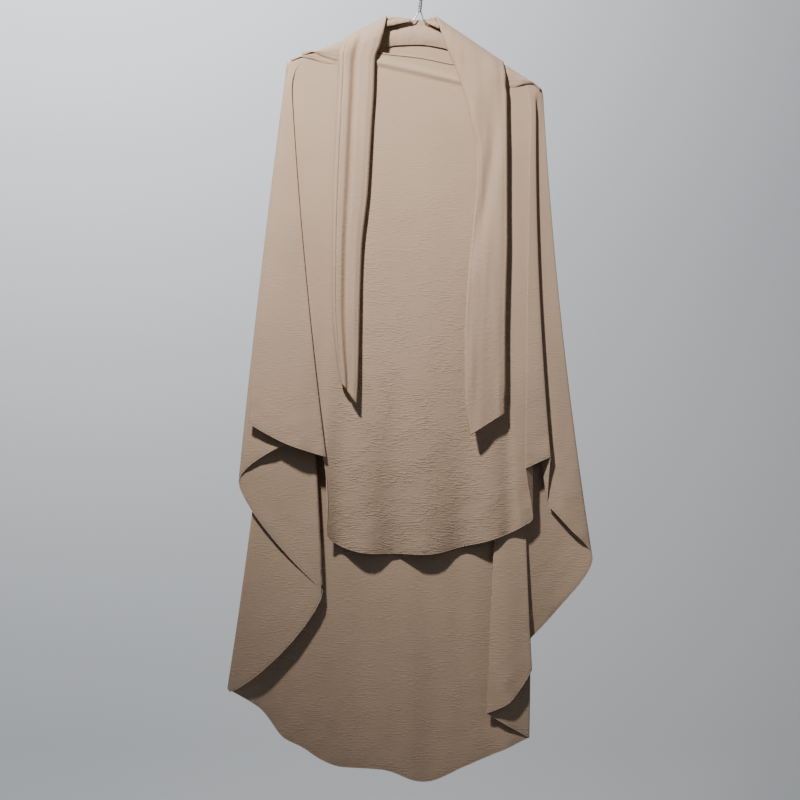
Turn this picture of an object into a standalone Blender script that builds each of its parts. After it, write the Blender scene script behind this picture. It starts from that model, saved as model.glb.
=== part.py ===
"""A khimar veil in beige crepe, hung on a plain bent-wire hanger.

The veil is one wide cloth with a face opening, short in front and long behind. A forehead
band edges the opening, passes behind the hanger's neck and over both of its arms, and goes on
as two long ties in front. The cloth falls in steps of folds at both sides.
Lengths are in metres, +Z is up and the front faces -Y. The origin is the top inside the hook.
"""
from collections import namedtuple
from math import cos, exp, pi, radians, sin

import bmesh
import bpy
from mathutils import Matrix, Vector

# Hanger
HANGER_WIDTH = 0.388
HANGER_DROP = 0.090
ARM_BEND_REACH = 0.045
ARM_BEND_DROP = 0.015
NECK_SPREAD = 0.0075
CORNER_RADIUS = 0.008
WIRE_DIAMETER = 0.0022
HOOK_RADIUS = 0.020
HOOK_TIP_ANGLE = radians(215)
NECK_LENGTH = 0.032
HANG_HEIGHT = 0.095
TWIST_TURNS = 2.5
TWIST_RADIUS = 0.0015
TILT = radians(5.5)

# Cloth
BACK_LENGTH = 1.238
HALF_SPREAD = 0.300
DRAPE_DEPTH = 0.050
CLOTH_WALL = 0.001
BAND_WALL = 0.002
CLEARANCE = 0.0003
MIDDLE_DROP = 0.40
CAP_SHARE = 0.4

# Ties
TIE_OFFSET = 0.0045
TIE_ARCH = 0.007
TIE_GROOVE = 0.006
TIE_SAG = 0.003
TIE_SEAM_GAP = 0.0003
SEAT_LEDGE = 0.0025

# Mesh fineness
COLUMNS_PER_FOLD = 3
CLOTH_ROWS = 15
TIE_COLUMNS = 10
WIRE_SIDES = 8
HOOK_STEPS = 22
STEM_STEPS = 6
STEPS_PER_TWIST = 12
WELD_DISTANCE = 0.00002

COLOURS = {
    "hanger": (0.42, 0.42, 0.44),
    "cape": (0.44, 0.35, 0.28),
    "forehead_band": (0.46, 0.37, 0.30),
    "left_tie": (0.45, 0.36, 0.29),
    "right_tie": (0.44, 0.35, 0.28),
}

# Each row is one fold line of the cape, in order round the cloth from the front centre, over
# the left side to the back and home over the right side. The x columns are shares of
# HALF_SPREAD from the hanger's neck, the near columns are shares of DRAPE_DEPTH towards the
# front, both at the top, at MIDDLE_DROP and at the hem. The drops are shares of BACK_LENGTH:
# below is how far the line starts under the hanger's arm, hem is where it ends under the neck.
# A corner of 1 gives the hem a sharp point at the line, and 0 a smooth curve.
Fold = namedtuple("Fold", "name top_x mid_x hem_x top_near mid_near hem_near below hem corner")
FOLDS = [
    Fold("front centre", 0.01, 0.02, 0.03, 0.12, 0.40, 0.42, 0.052, 0.701, 0),
    Fold("front left", -0.19, -0.21, -0.24, 0.12, 0.40, 0.42, 0.035, 0.700, 0),
    Fold("left opening end", -0.441, -0.40, -0.40, 0.12, 0.38, 0.41, 0.001, 0.693, 0),
    Fold("front left corner", -0.535, -0.51, -0.495, 0.13, 0.36, 0.40, 0.001, 0.670, 0),
    Fold("left pleat inside", -0.605, -0.612, -0.515, 0.14, 0.40, 0.46, 0.001, 0.570, 1),
    Fold("left pleat edge", -0.66, -0.583, -0.50, 0.15, 0.48, 0.56, 0.001, 0.573, 1),
    Fold("left wing middle", -0.685, -0.725, -0.70, 0.13, 0.54, 0.72, 0.001, 0.557, 0),
    Fold("left wing edge", -0.697, -0.86, -0.907, 0.10, 0.44, 0.64, 0.002, 0.530, 1),
    Fold("left first turn", -0.71, -0.73, -0.70, 0.05, 0.32, 0.54, 0.005, 0.555, 1),
    Fold("left second edge", -0.718, -0.88, -0.967, 0.00, 0.20, 0.44, 0.010, 0.605, 0),
    Fold("left second turn", -0.71, -0.60, -0.518, -0.05, 0.08, 0.30, 0.005, 0.748, 1),
    Fold("left third edge", -0.697, -0.79, -1.026, -0.10, -0.04, 0.14, 0.002, 0.874, 1),
    Fold("back left edge", -0.685, -0.72, -0.85, -0.13, -0.12, -0.02, 0.001, 0.905, 0),
    Fold("back left 1", -0.66, -0.655, -0.73, -0.15, -0.16, -0.06, 0.001, 0.942, 0),
    Fold("back left 2", -0.605, -0.59, -0.626, -0.15, -0.18, -0.07, 0.001, 0.955, 0),
    Fold("back left 3", -0.535, -0.51, -0.524, -0.16, -0.18, -0.06, 0.001, 0.971, 0),
    Fold("left opening back", -0.441, -0.43, -0.41, -0.16, -0.19, -0.05, 0.001, 0.981, 0),
    Fold("back left wave", -0.19, -0.21, -0.20, -0.19, -0.20, -0.05, 0.000, 0.984, 0),
    Fold("back centre", 0.01, 0.01, 0.03, -0.19, -0.20, -0.05, 0.000, 1.000, 0),
    Fold("back right wave", 0.19, 0.22, 0.24, -0.19, -0.20, -0.05, 0.000, 0.980, 0),
    Fold("right opening back", 0.474, 0.44, 0.44, -0.16, -0.18, -0.04, 0.001, 0.959, 0),
    Fold("back right edge", 0.50, 0.575, 0.594, -0.15, -0.12, 0.02, 0.001, 0.941, 1),
    Fold("right roll back edge", 0.54, 0.465, 0.362, -0.14, -0.04, 0.20, 0.001, 0.908, 1),
    Fold("right roll middle", 0.575, 0.51, 0.48, -0.13, 0.01, 0.38, 0.001, 0.893, 0),
    Fold("right roll edge", 0.615, 0.567, 0.605, -0.11, 0.03, 0.28, 0.001, 0.851, 1),
    Fold("right third turn", 0.643, 0.59, 0.513, -0.08, 0.03, 0.20, 0.001, 0.830, 1),
    Fold("right inner middle", 0.659, 0.68, 0.74, -0.04, 0.06, 0.15, 0.005, 0.776, 0),
    Fold("right outer edge", 0.67, 0.767, 0.929, 0.00, 0.14, 0.32, 0.010, 0.704, 0),
    Fold("right outer middle", 0.659, 0.686, 0.805, 0.04, 0.19, 0.40, 0.005, 0.666, 0),
    Fold("right second turn", 0.643, 0.60, 0.583, 0.08, 0.23, 0.24, 0.001, 0.602, 1),
    Fold("right pleat edge", 0.615, 0.653, 0.702, 0.11, 0.38, 0.54, 0.001, 0.573, 1),
    Fold("right pleat inside", 0.575, 0.577, 0.567, 0.13, 0.46, 0.60, 0.001, 0.588, 1),
    Fold("front right corner", 0.54, 0.612, 0.61, 0.13, 0.35, 0.38, 0.001, 0.652, 0),
    Fold("front right bend", 0.50, 0.50, 0.545, 0.13, 0.38, 0.40, 0.001, 0.665, 0),
    Fold("right opening end", 0.474, 0.448, 0.42, 0.12, 0.39, 0.41, 0.001, 0.679, 0),
    Fold("front right", 0.19, 0.25, 0.24, 0.12, 0.40, 0.42, 0.0385, 0.691, 0),
]
LEFT_CORNER = 9
RIGHT_CORNER = 27
CAP_FOLDS = 7

# Sections of the forehead band from the left tie, behind the neck, to the right tie. The x
# columns are shares of HALF_SPREAD, lower and upper are shares of BACK_LENGTH under the neck
# at the outer and at the inner edge, and near is a share of DRAPE_DEPTH.
Section = namedtuple("Section", "outer_x inner_x lower upper near")
BAND_LEFT_FRONT = [
    Section(-0.432, -0.243, 0.055, 0.055, 0.31),
    Section(-0.432, -0.225, 0.045, 0.040, 0.29),
    Section(-0.427, -0.195, 0.036, 0.024, 0.21),
]
BAND_BACK = [
    Section(-0.40, -0.165, 0.052, -0.001, -0.13),
    Section(-0.27, -0.13, 0.052, -0.003, -0.15),
    Section(-0.13, -0.06, 0.040, -0.002, -0.15),
    Section(0.00, 0.00, 0.038, -0.001, -0.15),
    Section(0.14, 0.06, 0.042, -0.003, -0.15),
    Section(0.30, 0.09, 0.060, 0.000, -0.15),
    Section(0.42, 0.11, 0.070, 0.008, -0.13),
]
BAND_RIGHT_FRONT = [
    Section(0.455, 0.145, 0.068, 0.034, 0.21),
    Section(0.462, 0.18, 0.075, 0.052, 0.29),
    Section(0.467, 0.22, 0.081, 0.081, 0.31),
]
LEFT_SEAT = (-0.433, -0.165)
RIGHT_SEAT = (0.465, 0.150)

# Cross sections of each tie from its seam to its tip: x shares of HALF_SPREAD at the outer and
# the inner edge, and how far down the tie's own length each edge has come there.
TieSection = namedtuple("TieSection", "outer_x inner_x outer_drop inner_drop")
LEFT_TIE = [
    TieSection(-0.432, -0.243, 0.00, 0.00),
    TieSection(-0.445, -0.248, 0.18, 0.17),
    TieSection(-0.462, -0.270, 0.42, 0.40),
    TieSection(-0.462, -0.310, 0.66, 0.67),
    TieSection(-0.445, -0.325, 0.85, 0.88),
    TieSection(-0.421, -0.335, 0.935, 1.00),
]
RIGHT_TIE = [
    TieSection(0.467, 0.220, 0.00, 0.00),
    TieSection(0.472, 0.270, 0.08, 0.10),
    TieSection(0.475, 0.308, 0.20, 0.18),
    TieSection(0.472, 0.300, 0.38, 0.38),
    TieSection(0.466, 0.248, 0.60, 0.60),
    TieSection(0.460, 0.243, 0.80, 0.82),
    TieSection(0.454, 0.275, 0.94, 1.00),
]
LEFT_TIE_LENGTH = 0.556
RIGHT_TIE_LENGTH = 0.574

# How each tie is folded lengthways: where its hollow lies across it, its half width as a share
# of the tie's width, and its depth.
Hollow = namedtuple("Hollow", "across width depth")
LEFT_HOLLOW = Hollow(0.40, 0.10, TIE_GROOVE)
RIGHT_HOLLOW = Hollow(0.50, 0.28, TIE_SAG)

NECK = Vector((-HANG_HEIGHT * sin(TILT), 0.0, -HANG_HEIGHT * cos(TILT)))


def clear_scene():
    for thing in list(bpy.data.objects):
        bpy.data.objects.remove(thing, do_unlink=True)


def plain_material(name):
    material = bpy.data.materials.new(name + "_finish")
    material.use_nodes = True
    shader = material.node_tree.nodes["Principled BSDF"]
    shader.inputs["Base Color"].default_value = (*COLOURS[name], 1.0)
    shader.inputs["Roughness"].default_value = 0.35 if name == "hanger" else 0.9
    shader.inputs["Metallic"].default_value = 0.9 if name == "hanger" else 0.0
    return material


def hang(x, z):
    """Turn a point of the level hanger, measured from its neck, into its tilted place."""
    turned = Matrix.Rotation(TILT, 4, "Y") @ Vector((x, 0.0, z))
    return NECK + turned


def arm_height(x):
    """Height under the neck of the wire's middle at the distance x from the neck."""
    side = -1.0 if x < 0.0 else 1.0
    bend = hang(side * ARM_BEND_REACH, -ARM_BEND_DROP) - NECK
    corner = hang(side * HANGER_WIDTH / 2, -HANGER_DROP) - NECK
    neck = hang(side * NECK_SPREAD, 0.0) - NECK
    start, end = (neck, bend) if abs(x) < abs(bend.x) else (bend, corner)
    share = (x - start.x) / (end.x - start.x)
    return start.z + max(share, 0.0) * (end.z - start.z)


def three_levels(top, middle, hem, top_drop, hem_drop, drop):
    """A smooth line through three levels, held above the top and straight below the hem."""
    drop = max(drop, top_drop)
    beyond = max(0.0, drop - hem_drop)
    drop = min(drop, hem_drop)
    upper = (middle - top) / (MIDDLE_DROP - top_drop)
    lower = (hem - middle) / (hem_drop - MIDDLE_DROP)
    bend = (lower - upper) / (hem_drop - top_drop)
    value = middle + lower * (drop - MIDDLE_DROP) + bend * (drop - MIDDLE_DROP) * (drop - hem_drop)
    return value + beyond * (lower + bend * (hem_drop - MIDDLE_DROP))


def top_of(fold):
    """How far under the neck a fold line starts, as a share of BACK_LENGTH."""
    return -arm_height(fold.top_x * HALF_SPREAD) / BACK_LENGTH + fold.below


def blend(values, share, corners=(0, 0)):
    """The value a share of the way from the second of four values to the third, never
    swinging past either of them, and level at each of the two that is a corner."""
    before, start, end, after = values
    steps = (start - before, end - start, after - end)
    slopes = []
    for first, second, corner in zip(steps, steps[1:], corners):
        same_way = first * second > 0.0 and not corner
        slopes.append(2 * first * second / (first + second) if same_way else 0.0)
    square, cube = share ** 2, share ** 3
    return ((2 * cube - 3 * square + 1) * start + (cube - 2 * square + share) * slopes[0]
            + (3 * square - 2 * cube) * end + (cube - square) * slopes[1])


def four_folds(place):
    """The four fold lines around a place on the cloth, and the share between the middle two."""
    first = int(place // 1)
    rows = [FOLDS[(first + step) % len(FOLDS)] for step in (-1, 0, 1, 2)]
    return rows, place - first


def cloth_point(place, share):
    """The point of the cape at a place round it, a share of the way from its top to its hem."""
    rows, between = four_folds(place)
    top = blend([top_of(row) for row in rows], between)
    hem = blend([row.hem for row in rows], between, (rows[1].corner, rows[2].corner))
    drop = top + share * (hem - top)
    across = []
    near = []
    for row in rows:
        levels = (top_of(row), row.hem, drop)
        across.append(three_levels(row.top_x, row.mid_x, row.hem_x, *levels))
        near.append(three_levels(row.top_near, row.mid_near, row.hem_near, *levels))
    return NECK + Vector((blend(across, between) * HALF_SPREAD,
                          -blend(near, between) * DRAPE_DEPTH, -drop * BACK_LENGTH))


def cap_point(corner, step, line):
    """The point of the cloth over an arm: line 0 is the front edge and line 3 the back edge."""
    inward = step / COLUMNS_PER_FOLD
    front_side = -1 if corner == LEFT_CORNER else 1
    front = cloth_point(corner + front_side * inward, 0.0)
    back = cloth_point(corner - front_side * inward, 0.0)
    if line in (0, 3):
        return front if line == 0 else back
    edge = front if line == 1 else back
    x = (front.x + back.x) / 2
    seat = arm_height(x - NECK.x) + WIRE_DIAMETER / 2 + CLEARANCE + CLOTH_WALL / 2
    rise = min(1.0, inward)
    height = NECK.z + seat
    return Vector((x, edge.y * CAP_SHARE, edge.z + rise * (height - edge.z)))


def add_grid(mesh, columns, rows, place):
    """Add a grid whose points go where place(column, row) says."""
    made = bmesh.ops.create_grid(mesh, x_segments=columns, y_segments=rows, size=0.5)["verts"]
    for vertex in made:
        column = round((vertex.co.x + 0.5) * columns)
        row = round((vertex.co.y + 0.5) * rows)
        vertex.co = place(column, row)


def finish_sheet(mesh, name, wall):
    """Join a sheet's edges, give it its wall and its finish, and put it in the scene."""
    bmesh.ops.remove_doubles(mesh, verts=mesh.verts, dist=WELD_DISTANCE)
    bmesh.ops.dissolve_degenerate(mesh, edges=mesh.edges, dist=WELD_DISTANCE)
    bmesh.ops.recalc_face_normals(mesh, faces=mesh.faces)
    data = bpy.data.meshes.new(name)
    mesh.to_mesh(data)
    mesh.free()
    data.shade_smooth()
    sheet = bpy.data.objects.new(name, data)
    bpy.context.scene.collection.objects.link(sheet)
    data.materials.append(plain_material(name))
    shell = sheet.modifiers.new("wall", "SOLIDIFY")
    shell.thickness = wall
    shell.offset = 0.0
    return sheet


def make_cape():
    columns = len(FOLDS) * COLUMNS_PER_FOLD
    mesh = bmesh.new()
    add_grid(mesh, columns, CLOTH_ROWS,
             lambda column, row: cloth_point(column / COLUMNS_PER_FOLD, row / CLOTH_ROWS))
    for corner in (LEFT_CORNER, RIGHT_CORNER):
        add_grid(mesh, CAP_FOLDS * COLUMNS_PER_FOLD, 3,
                 lambda column, row, corner=corner: cap_point(corner, column, row))
    return finish_sheet(mesh, "cape", CLOTH_WALL)


def seat_section(ends, near):
    """The band's points where it lies along an arm, between two x shares."""
    height = WIRE_DIAMETER / 2 + CLEARANCE + BAND_WALL / 2
    points = []
    for column in range(TIE_COLUMNS + 1):
        x = (ends[0] + (ends[1] - ends[0]) * column / TIE_COLUMNS) * HALF_SPREAD
        points.append(NECK + Vector((x, -near, arm_height(x) + height)))
    return points


def free_section(section):
    """The band's points across one of its free sections, from the outer to the inner edge."""
    depth = -section.near * DRAPE_DEPTH
    outer = Vector((section.outer_x * HALF_SPREAD, depth, -section.lower * BACK_LENGTH))
    inner = Vector((section.inner_x * HALF_SPREAD, depth, -section.upper * BACK_LENGTH))
    return [NECK + outer.lerp(inner, column / TIE_COLUMNS) for column in range(TIE_COLUMNS + 1)]


def make_band():
    sections = [free_section(row) for row in BAND_LEFT_FRONT]
    sections += [seat_section(LEFT_SEAT, SEAT_LEDGE), seat_section(LEFT_SEAT, -SEAT_LEDGE)]
    sections += [free_section(row) for row in BAND_BACK]
    sections += [seat_section(RIGHT_SEAT, -SEAT_LEDGE), seat_section(RIGHT_SEAT, SEAT_LEDGE)]
    sections += [free_section(row) for row in BAND_RIGHT_FRONT]
    mesh = bmesh.new()
    add_grid(mesh, TIE_COLUMNS, len(sections) - 1, lambda column, row: sections[row][column])
    return finish_sheet(mesh, "forehead_band", BAND_WALL)


def front_near(place, drop):
    """How far in front of the hanger the front cloth lies, at a place and a drop."""
    rows, between = four_folds(place)
    near = []
    for row in rows:
        near.append(three_levels(row.top_near, row.mid_near, row.hem_near,
                                 top_of(row), row.hem, drop))
    return blend(near, between) * DRAPE_DEPTH


def make_tie(name, table, seam, length, hollow):
    """A tie that hangs in front of the cape from its seam on the band."""
    top = -seam.lower * BACK_LENGTH - TIE_SEAM_GAP
    seam_near = seam.near * DRAPE_DEPTH

    def place(column, row):
        section = table[row]
        share = column / TIE_COLUMNS
        x = (section.outer_x + share * (section.inner_x - section.outer_x)) * HALF_SPREAD
        fallen = section.outer_drop + share * (section.inner_drop - section.outer_drop)
        z = top - fallen * length
        arch = 4 * share * (1 - share) * TIE_ARCH
        fold = exp(-((share - hollow.across) / hollow.width) ** 2) * hollow.depth
        cloth = front_near(1 if x < 0 else len(FOLDS) - 1, -z / BACK_LENGTH)
        loose = cloth + TIE_OFFSET + BAND_WALL / 2 + arch - fold * min(1.0, 4 * fallen)
        ease = min(1.0, 5 * fallen)
        near = seam_near + ease * (max(loose, cloth + TIE_OFFSET) - seam_near)
        return NECK + Vector((x, -near, z))

    mesh = bmesh.new()
    add_grid(mesh, TIE_COLUMNS, len(table) - 1, place)
    return finish_sheet(mesh, name, BAND_WALL)


def arc_points(centre, radius, start, end, steps):
    """Points along an arc in the hanger's own plane, with both ends."""
    points = []
    for step in range(steps + 1):
        angle = start + (end - start) * step / steps
        points.append((centre[0] + radius * cos(angle), centre[1] + radius * sin(angle), 0.0))
    return points


def hanger_route():
    """The wire from the hook's tip, down the neck, round the frame and up the neck again."""
    hook_centre = HANG_HEIGHT - HOOK_RADIUS
    middle = HOOK_RADIUS + WIRE_DIAMETER / 2
    route = arc_points((0.0, hook_centre), middle, HOOK_TIP_ANGLE, 0.0, HOOK_STEPS)
    stem_drop = hook_centre - NECK_LENGTH
    for step in range(1, STEM_STEPS):
        turn = pi * step / STEM_STEPS
        x = middle * (1 + cos(turn)) / 2 + TWIST_RADIUS * (1 - cos(turn)) / 2
        route.append((x, hook_centre - stem_drop * step / STEM_STEPS, 0.0))
    steps = round(STEPS_PER_TWIST * TWIST_TURNS)
    strand = []
    for step in range(steps + 1):
        angle = 2 * pi * TWIST_TURNS * step / steps
        height = NECK_LENGTH * (1 - step / steps)
        strand.append((TWIST_RADIUS * cos(angle), height, TWIST_RADIUS * sin(angle)))
    route += strand
    half = HANGER_WIDTH / 2
    middle_of_bend = -HANGER_DROP - CORNER_RADIUS / 2
    arm = [(ARM_BEND_REACH, -ARM_BEND_DROP), (half, -HANGER_DROP)]
    arm += [(half + CORNER_RADIUS / 4, middle_of_bend), (half, -HANGER_DROP - CORNER_RADIUS)]
    route += [(-x, z, 0.0) for x, z in arm]
    route += [(x, z, 0.0) for x, z in reversed(arm)]
    route += [(-x, z, -y) for x, z, y in reversed(strand)]
    return route


def make_hanger():
    curve = bpy.data.curves.new("hanger", "CURVE")
    curve.dimensions = "3D"
    curve.bevel_depth = WIRE_DIAMETER / 2
    curve.bevel_resolution = WIRE_SIDES // 4
    curve.use_fill_caps = True
    route = hanger_route()
    line = curve.splines.new("POLY")
    line.points.add(len(route) - 1)
    for point, (x, z, y) in zip(line.points, route):
        place = hang(x, z)
        point.co = (place.x, y, place.z, 1.0)
    curve.materials.append(plain_material("hanger"))
    hanger = bpy.data.objects.new("hanger", curve)
    bpy.context.scene.collection.objects.link(hanger)
    return hanger


clear_scene()
make_hanger()
make_cape()
make_band()
make_tie("left_tie", LEFT_TIE, BAND_LEFT_FRONT[0], LEFT_TIE_LENGTH, LEFT_HOLLOW)
make_tie("right_tie", RIGHT_TIE, BAND_RIGHT_FRONT[-1], RIGHT_TIE_LENGTH, RIGHT_HOLLOW)
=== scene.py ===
# %% [markdown]
# A khimar veil in beige crepe hangs on a thin wire hanger. The frame holds its solids, so this
# script only dresses them: the same cloth with finer folds, rolled hems, a crinkled crepe
# finish and a drawn wire.

# %% load the frame
from collections import namedtuple
from math import cos, exp, pi, radians, sin

import bmesh
import bpy
from mathutils import Matrix, Vector, noise


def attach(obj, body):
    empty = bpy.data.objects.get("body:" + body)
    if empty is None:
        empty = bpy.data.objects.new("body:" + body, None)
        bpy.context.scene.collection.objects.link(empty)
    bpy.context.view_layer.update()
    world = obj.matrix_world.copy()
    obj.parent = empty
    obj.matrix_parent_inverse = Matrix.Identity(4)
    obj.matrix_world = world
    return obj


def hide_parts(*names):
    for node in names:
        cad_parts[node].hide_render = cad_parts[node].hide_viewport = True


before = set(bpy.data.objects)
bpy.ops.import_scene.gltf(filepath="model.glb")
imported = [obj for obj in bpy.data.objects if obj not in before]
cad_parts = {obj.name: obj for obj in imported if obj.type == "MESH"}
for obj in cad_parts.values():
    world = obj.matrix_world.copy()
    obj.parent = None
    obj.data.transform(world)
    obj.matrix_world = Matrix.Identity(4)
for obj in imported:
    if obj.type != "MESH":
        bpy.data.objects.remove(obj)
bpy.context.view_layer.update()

# %% [markdown]
# The veil is measured from the hanger's neck, the twisted part of the wire just over the
# shoulders. These lengths repeat the ones that the solids were made with, so that the dressed
# pieces hang where their solids do. Only the wire's twist is wider here and opens higher.

# %% sizes shared with the solids
HANGER_WIDTH = 0.388
HANGER_DROP = 0.090
ARM_BEND_REACH = 0.045
ARM_BEND_DROP = 0.015
NECK_SPREAD = 0.0075
CORNER_RADIUS = 0.008
WIRE_DIAMETER = 0.0022
HOOK_RADIUS = 0.020
HOOK_TIP_ANGLE = radians(215)
NECK_LENGTH = 0.032
HANG_HEIGHT = 0.095
TWIST_TURNS = 2.5
TWIST_RADIUS = 0.0022
SPLIT_HEIGHT = 0.0095
TILT = radians(5.5)
BACK_LENGTH = 1.238
HALF_SPREAD = 0.300
DRAPE_DEPTH = 0.050
CLOTH_WALL = 0.001
BAND_WALL = 0.002
CLEARANCE = 0.0003
MIDDLE_DROP = 0.40
NECK = Vector((-HANG_HEIGHT * sin(TILT), 0.0, -HANG_HEIGHT * cos(TILT)))
print("neck of the hanger at", [round(value, 4) for value in NECK])

# %% [markdown]
# The camera stands straight in front of the veil, at the height of its middle, as in the
# photograph. One pixel of the photograph is 1.62 mm at the hanger, and the neck is at pixel
# 419, 18, which gives the place and the lens of the camera.

# %% camera
PIXEL = 0.00162
FRAME_PIXELS = 800
NECK_PIXEL = (419, 18)
CAMERA_DISTANCE = 2.6
SENSOR = 36.0


def add_camera():
    data = bpy.data.cameras.new("camera")
    data.sensor_width = SENSOR
    data.lens = SENSOR * CAMERA_DISTANCE / (FRAME_PIXELS * PIXEL)
    camera = bpy.data.objects.new("camera", data)
    half = FRAME_PIXELS / 2
    camera.location = (NECK.x + (half - NECK_PIXEL[0]) * PIXEL, -CAMERA_DISTANCE,
                       NECK.z + (NECK_PIXEL[1] - half) * PIXEL)
    camera.rotation_euler = (radians(90), 0, 0)
    bpy.context.scene.collection.objects.link(camera)
    bpy.context.scene.camera = camera
    print("lens", round(data.lens, 1), "mm")


add_camera()

# %% [markdown]
# Each fold line of the cape is one row: where it lies at the top, at the middle level and at
# its hem. The cloth between two rows is blended without swinging past either, so the lines at
# the outside of a fold stay its edge. The rows go round the cloth from the front centre. A row
# with a corner of 1 ends in a sharp point of the hem, and 0 in a smooth curve. It is the
# solids' table, with some lines at the sides reshaped at the hem.

# %% fold lines of the cape
Fold = namedtuple("Fold", "name top_x mid_x hem_x top_near mid_near hem_near below hem corner")
FOLDS = [
    Fold("front centre", 0.01, 0.02, 0.03, 0.12, 0.40, 0.42, 0.052, 0.701, 0),
    Fold("front left", -0.19, -0.21, -0.24, 0.12, 0.40, 0.42, 0.035, 0.700, 0),
    Fold("left opening end", -0.441, -0.40, -0.40, 0.12, 0.38, 0.41, 0.001, 0.693, 0),
    Fold("front left corner", -0.535, -0.51, -0.495, 0.13, 0.36, 0.40, 0.001, 0.670, 0),
    Fold("left pleat inside", -0.605, -0.612, -0.515, 0.14, 0.40, 0.46, 0.001, 0.570, 1),
    Fold("left pleat edge", -0.66, -0.583, -0.50, 0.15, 0.48, 0.60, 0.001, 0.573, 1),
    Fold("left wing middle", -0.685, -0.725, -0.70, 0.13, 0.54, 0.78, 0.001, 0.557, 0),
    Fold("left wing edge", -0.697, -0.86, -0.907, 0.10, 0.44, 0.72, 0.002, 0.530, 1),
    Fold("left first turn", -0.71, -0.73, -0.70, 0.05, 0.32, 0.60, 0.005, 0.555, 1),
    Fold("left second edge", -0.718, -0.88, -0.967, 0.00, 0.20, 0.42, 0.010, 0.605, 0),
    Fold("left second turn", -0.71, -0.60, -0.518, -0.05, 0.08, 0.24, 0.005, 0.748, 1),
    Fold("left third edge", -0.697, -0.79, -1.026, -0.10, -0.04, 0.46, 0.002, 0.874, 1),
    Fold("back left edge", -0.685, -0.72, -0.85, -0.13, -0.12, -0.04, 0.001, 0.905, 0),
    Fold("back left 1", -0.66, -0.655, -0.73, -0.15, -0.16, -0.08, 0.001, 0.942, 0),
    Fold("back left 2", -0.605, -0.59, -0.626, -0.15, -0.18, -0.07, 0.001, 0.955, 0),
    Fold("back left 3", -0.535, -0.51, -0.524, -0.16, -0.18, -0.06, 0.001, 0.971, 0),
    Fold("left opening back", -0.441, -0.43, -0.41, -0.16, -0.19, -0.05, 0.001, 0.981, 0),
    Fold("back left wave", -0.19, -0.21, -0.20, -0.19, -0.20, -0.05, 0.000, 0.984, 0),
    Fold("back centre", 0.01, 0.01, 0.03, -0.19, -0.20, -0.05, 0.000, 1.000, 0),
    Fold("back right wave", 0.19, 0.22, 0.24, -0.19, -0.20, -0.05, 0.000, 0.980, 0),
    Fold("right opening back", 0.474, 0.44, 0.44, -0.16, -0.18, -0.04, 0.001, 0.959, 0),
    Fold("back right edge", 0.50, 0.575, 0.594, -0.15, -0.12, 0.02, 0.001, 0.941, 1),
    Fold("right roll back edge", 0.54, 0.465, 0.362, -0.14, -0.04, 0.20, 0.001, 0.908, 1),
    Fold("right roll middle", 0.575, 0.51, 0.48, -0.13, 0.01, 0.38, 0.001, 0.893, 0),
    Fold("right roll edge", 0.615, 0.567, 0.605, -0.11, 0.03, 0.28, 0.001, 0.851, 1),
    Fold("right third turn", 0.643, 0.59, 0.513, -0.08, 0.03, 0.12, 0.001, 0.830, 1),
    Fold("right inner middle", 0.659, 0.68, 0.74, -0.04, 0.06, -0.06, 0.005, 0.776, 0),
    Fold("right outer edge", 0.67, 0.767, 0.929, 0.00, 0.14, 0.32, 0.010, 0.704, 0),
    Fold("right outer middle", 0.659, 0.686, 0.805, 0.04, 0.19, 0.40, 0.005, 0.666, 0),
    Fold("right second turn", 0.643, 0.60, 0.690, 0.08, 0.23, 0.24, 0.001, 0.636, 1),
    Fold("right pleat edge", 0.615, 0.653, 0.702, 0.11, 0.38, 0.54, 0.001, 0.573, 1),
    Fold("right pleat inside", 0.575, 0.577, 0.567, 0.13, 0.46, 0.60, 0.001, 0.588, 1),
    Fold("front right corner", 0.54, 0.612, 0.61, 0.13, 0.35, 0.38, 0.001, 0.652, 0),
    Fold("front right bend", 0.50, 0.50, 0.545, 0.13, 0.38, 0.40, 0.001, 0.665, 0),
    Fold("right opening end", 0.474, 0.448, 0.42, 0.12, 0.39, 0.41, 0.001, 0.679, 0),
    Fold("front right", 0.19, 0.25, 0.24, 0.12, 0.40, 0.42, 0.0385, 0.691, 0),
]
LEFT_CORNER = 9
RIGHT_CORNER = 27
CAP_FOLDS = 7
print(len(FOLDS), "fold lines")

# %% [markdown]
# The pleats beside the ties start just under the arms: there a line is pulled sideways in
# behind its neighbour, or forward over it. Each pull gives the x and near shares that the line
# would have had at its top, and the cloth reaches it within a short ease from its seat.

# %% pleats under the arms
PULLED = {
    "left pleat inside": (-0.73, 0.12),
    "left pleat edge": (-0.695, 0.22),
    "left wing middle": (-0.708, 0.21),
    "left wing edge": (-0.712, 0.16),
    "right pleat edge": (0.63, 0.19),
    "right pleat inside": (0.605, 0.22),
    "front right corner": (0.635, 0.12),
}
SEAT_EASE = 0.022
print(len(PULLED), "pulled lines")

# %% [markdown]
# Between two fold lines the hem is blended from their ends, but one flap's hem bows further
# down. The value is how far at most, as a share of BACK_LENGTH, from the named line on.

# %% bowed hem
HEM_BOWS = {"left second turn": 0.021}
print(len(HEM_BOWS), "bowed span")

# %% [markdown]
# The hanger is level on the drawing board and tilted on its hook, because the cloth pulls it
# down on one side. The cloth's top follows the arms' height.

# %% where the arms are


def hang(x, z):
    """Turn a point of the level hanger, measured from its neck, into its tilted place."""
    turned = Matrix.Rotation(TILT, 4, "Y") @ Vector((x, 0.0, z))
    return NECK + turned


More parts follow.
